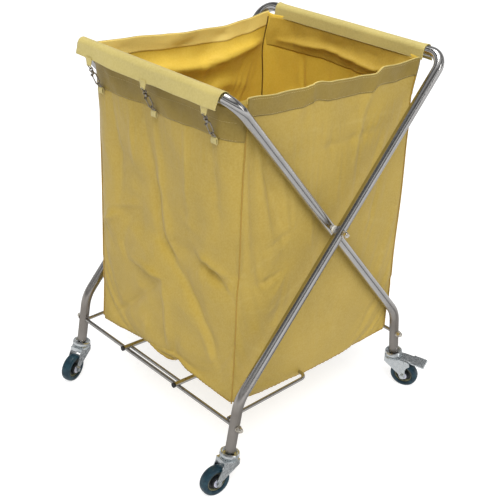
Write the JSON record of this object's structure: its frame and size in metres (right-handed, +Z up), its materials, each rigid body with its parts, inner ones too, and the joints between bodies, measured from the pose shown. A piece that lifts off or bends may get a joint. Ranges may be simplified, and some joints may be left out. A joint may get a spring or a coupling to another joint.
{
  "type": "linen trolley",
  "caption": "Folding linen trolley: two crossed tube frames on swivel casters carry a deep cloth bag hung over the top rails, clipped with snap hooks.",
  "frame": {"origin": "on the floor, midway between the four legs", "axes": "+Z up, +Y to the back, -X to the left side, which the inner frame's rail is on"},
  "size_m": [0.7819, 0.7221, 0.9516],
  "materials": {
    "polished_stainless": "polished stainless tube with a fine drawn grain",
    "bright_steel_rod": "bright drawn rod",
    "black_plastic": "moulded, slightly shiny",
    "white_nylon": "natural nylon",
    "plated_fastener": "nickel plated",
    "teal_rubber": "smooth dark blue-green elastic rubber",
    "grey_plastic": "moulded polyamide",
    "zinc_plated": "bright zinc plated pressed steel",
    "cream_cloth": "coated cloth, paler reverse side",
    "band_cloth": "doubled binding strip",
    "ochre_cloth": "plasticised polyester cloth, satin",
    "nickel_hardware": "nickel plated wire"
  },
  "bodies": {
    "left_base": {"left_base_rod": "bright_steel_rod", "left_base_loop": "bright_steel_rod", "left_rod_nuts": "plated_fastener"},
    "outer_frame": {"outer_frame_tube": "polished_stainless", "outer_leg_sockets": "black_plastic", "outer_caster_heads": "zinc_plated"},
    "inner_frame": {"inner_frame_tube": "polished_stainless", "inner_leg_sockets": "black_plastic", "inner_caster_heads": "zinc_plated", "pivot_bolts": "plated_fastener", "pivot_spacers": "white_nylon", "pivot_nuts": "plated_fastener"},
    "right_base": {"right_base_rod": "bright_steel_rod", "right_base_arms": "bright_steel_rod", "arm_end_caps": "black_plastic", "right_rod_nuts": "plated_fastener"},
    "bag": {"bag_left_panel": "ochre_cloth", "bag_front_panel": "ochre_cloth", "bag_back_panel": "ochre_cloth", "bag_bottom": "ochre_cloth", "bag_mouth_bands": "band_cloth", "left_rail_flap": "cream_cloth", "left_hook_swivels": "nickel_hardware", "left_hook_rings": "nickel_hardware", "left_hook_straps": "cream_cloth"},
    "right_side": {"bag_right_panel": "ochre_cloth", "right_rail_flap": "cream_cloth", "right_hook_swivels": "nickel_hardware", "right_hook_rings": "nickel_hardware", "right_hook_straps": "cream_cloth"},
    "front_left_fork": {"front_left_fork": "zinc_plated", "front_left_axle": "zinc_plated"},
    "front_left_wheel": {"front_left_wheel_hub": "grey_plastic", "front_left_tyre": "teal_rubber"},
    "back_left_fork": {"back_left_fork": "zinc_plated", "back_left_axle": "zinc_plated"},
    "back_left_wheel": {"back_left_wheel_hub": "grey_plastic", "back_left_tyre": "teal_rubber"},
    "front_right_fork": {"front_right_fork": "zinc_plated", "front_right_axle": "zinc_plated"},
    "front_right_wheel": {"front_right_wheel_hub": "grey_plastic", "front_right_tyre": "teal_rubber"},
    "front_right_pedal": {"front_right_brake_pedal": "zinc_plated"},
    "back_right_fork": {"back_right_fork": "zinc_plated", "back_right_axle": "zinc_plated"},
    "back_right_wheel": {"back_right_wheel_hub": "grey_plastic", "back_right_tyre": "teal_rubber"},
    "back_right_pedal": {"back_right_brake_pedal": "zinc_plated"},
    "left_hook_1": {"left_snap_hook_1": "nickel_hardware"},
    "left_gate_1": {"left_hook_gate_1": "nickel_hardware"},
    "left_hook_2": {"left_snap_hook_2": "nickel_hardware"},
    "left_gate_2": {"left_hook_gate_2": "nickel_hardware"},
    "left_hook_3": {"left_snap_hook_3": "nickel_hardware"},
    "left_gate_3": {"left_hook_gate_3": "nickel_hardware"},
    "right_hook_1": {"right_snap_hook_1": "nickel_hardware"},
    "right_gate_1": {"right_hook_gate_1": "nickel_hardware"},
    "right_hook_2": {"right_snap_hook_2": "nickel_hardware"},
    "right_gate_2": {"right_hook_gate_2": "nickel_hardware"},
    "right_hook_3": {"right_snap_hook_3": "nickel_hardware"},
    "right_gate_3": {"right_hook_gate_3": "nickel_hardware"}
  },
  "joints": [
    {"name": "fold", "type": "hinge", "parent": "left_base", "child": "outer_frame", "pos_m": [-0.30508, 0, 0.169], "axis": [0, -1, 0], "range_deg": [0, 20], "deforming": ["bag_front_panel", "bag_back_panel", "bag_bottom", "bag_mouth_bands"]},
    {"name": "scissor", "type": "hinge", "parent": "outer_frame", "child": "inner_frame", "pos_m": [0, 0, 0.57345], "axis": [0, 1, 0], "range_deg": [0, 40]},
    {"name": "right_rod_turn", "type": "hinge", "parent": "inner_frame", "child": "right_base", "pos_m": [0.30508, 0, 0.169], "axis": [0, -1, 0], "range_deg": [0, 17.4]},
    {"name": "bag_hang", "type": "hinge", "parent": "inner_frame", "child": "bag", "pos_m": [-0.316, 0, 0.936], "axis": [0, -1, 0], "range_deg": [0, 20]},
    {"name": "right_side_hang", "type": "hinge", "parent": "outer_frame", "child": "right_side", "pos_m": [0.316, 0, 0.936], "axis": [0, 1, 0], "range_deg": [0, 20]},
    {"name": "front_left_swivel", "type": "hinge", "parent": "outer_frame", "child": "front_left_fork", "pos_m": [-0.31762, -0.303, 0.08683], "axis": [0.1509, 0, 0.9885], "continuous": true},
    {"name": "front_left_roll", "type": "hinge", "parent": "front_left_fork", "child": "front_left_wheel", "pos_m": [-0.35734, -0.29966, 0.03756], "axis": [-0.1033, -0.9945, 0.0158], "continuous": true},
    {"name": "back_left_swivel", "type": "hinge", "parent": "outer_frame", "child": "back_left_fork", "pos_m": [-0.31756, 0.303, 0.08723], "axis": [0.1509, 0, 0.9885], "continuous": true},
    {"name": "back_left_roll", "type": "hinge", "parent": "back_left_fork", "child": "back_left_wheel", "pos_m": [-0.35535, 0.29153, 0.03766], "axis": [0.3543, -0.9336, -0.0541], "continuous": true},
    {"name": "front_right_swivel", "type": "hinge", "parent": "inner_frame", "child": "front_right_fork", "pos_m": [0.31712, -0.272, 0.09011], "axis": [-0.1509, 0, 0.9885], "continuous": true},
    {"name": "front_right_roll", "type": "hinge", "parent": "front_right_fork", "child": "front_right_wheel", "pos_m": [0.3362, -0.30207, 0.03769], "axis": [0.9289, 0.342, 0.1418], "continuous": true},
    {"name": "front_right_brake", "type": "hinge", "parent": "front_right_fork", "child": "front_right_pedal", "pos_m": [0.32978, -0.30395, 0.08425], "axis": [0.9289, 0.342, 0.1418], "range_deg": [0, 11]},
    {"name": "back_right_swivel", "type": "hinge", "parent": "inner_frame", "child": "back_right_fork", "pos_m": [0.3173, 0.272, 0.08894], "axis": [-0.1509, 0, 0.9885], "continuous": true},
    {"name": "back_right_roll", "type": "hinge", "parent": "back_right_fork", "child": "back_right_wheel", "pos_m": [0.34415, 0.29789, 0.03771], "axis": [-0.7998, 0.5878, -0.1221], "continuous": true},
    {"name": "back_right_brake", "type": "hinge", "parent": "back_right_fork", "child": "back_right_pedal", "pos_m": [0.33822, 0.29951, 0.08435], "axis": [-0.7998, 0.5878, -0.1221], "range_deg": [0, 11]},
    {"name": "left_hook_1_swivel", "type": "hinge", "parent": "bag", "child": "left_hook_1", "pos_m": [-0.32227, -0.2, 0.87734], "axis": [-0.4629, 0, 0.8864], "range_deg": [-25, 25]},
    {"name": "left_gate_1_open", "type": "hinge", "parent": "left_hook_1", "child": "left_gate_1", "pos_m": [-0.32546, -0.2, 0.87308], "axis": [0, -1, 0], "range_deg": [0, 18], "stiffness_Nm_per_rad": 0.0005, "springref_deg": -34.38},
    {"name": "left_hook_2_swivel", "type": "hinge", "parent": "bag", "child": "left_hook_2", "pos_m": [-0.32227, 0, 0.87734], "axis": [-0.4629, 0, 0.8864], "range_deg": [-25, 25]},
    {"name": "left_gate_2_open", "type": "hinge", "parent": "left_hook_2", "child": "left_gate_2", "pos_m": [-0.32546, 0, 0.87308], "axis": [0, -1, 0], "range_deg": [0, 18], "stiffness_Nm_per_rad": 0.0005, "springref_deg": -34.38},
    {"name": "left_hook_3_swivel", "type": "hinge", "parent": "bag", "child": "left_hook_3", "pos_m": [-0.32227, 0.2, 0.87734], "axis": [-0.4629, 0, 0.8864], "range_deg": [-25, 25]},
    {"name": "left_gate_3_open", "type": "hinge", "parent": "left_hook_3", "child": "left_gate_3", "pos_m": [-0.32546, 0.2, 0.87308], "axis": [0, -1, 0], "range_deg": [0, 18], "stiffness_Nm_per_rad": 0.0005, "springref_deg": -34.38},
    {"name": "right_hook_1_swivel", "type": "hinge", "parent": "right_side", "child": "right_hook_1", "pos_m": [0.32227, -0.2, 0.87734], "axis": [0.4629, 0, 0.8864], "range_deg": [-25, 25]},
    {"name": "right_gate_1_open", "type": "hinge", "parent": "right_hook_1", "child": "right_gate_1", "pos_m": [0.32546, -0.2, 0.87308], "axis": [0, 1, 0], "range_deg": [0, 18], "stiffness_Nm_per_rad": 0.0005, "springref_deg": -34.38},
    {"name": "right_hook_2_swivel", "type": "hinge", "parent": "right_side", "child": "right_hook_2", "pos_m": [0.32227, 0, 0.87734], "axis": [0.4629, 0, 0.8864], "range_deg": [-25, 25]},
    {"name": "right_gate_2_open", "type": "hinge", "parent": "right_hook_2", "child": "right_gate_2", "pos_m": [0.32546, 0, 0.87308], "axis": [0, 1, 0], "range_deg": [0, 18], "stiffness_Nm_per_rad": 0.0005, "springref_deg": -34.38},
    {"name": "right_hook_3_swivel", "type": "hinge", "parent": "right_side", "child": "right_hook_3", "pos_m": [0.32227, 0.2, 0.87734], "axis": [0.4629, 0, 0.8864], "range_deg": [-25, 25]},
    {"name": "right_gate_3_open", "type": "hinge", "parent": "right_hook_3", "child": "right_gate_3", "pos_m": [0.32546, 0.2, 0.87308], "axis": [0, 1, 0], "range_deg": [0, 18], "stiffness_Nm_per_rad": 0.0005, "springref_deg": -34.38}
  ],
  "couplings": [
    {"joint": "scissor", "follows": "fold", "ratio": 2},
    {"joint": "right_rod_turn", "follows": "fold", "ratio": 0.87},
    {"joint": "bag_hang", "follows": "fold", "ratio": 1},
    {"joint": "right_side_hang", "follows": "fold", "ratio": 1}
  ]
}
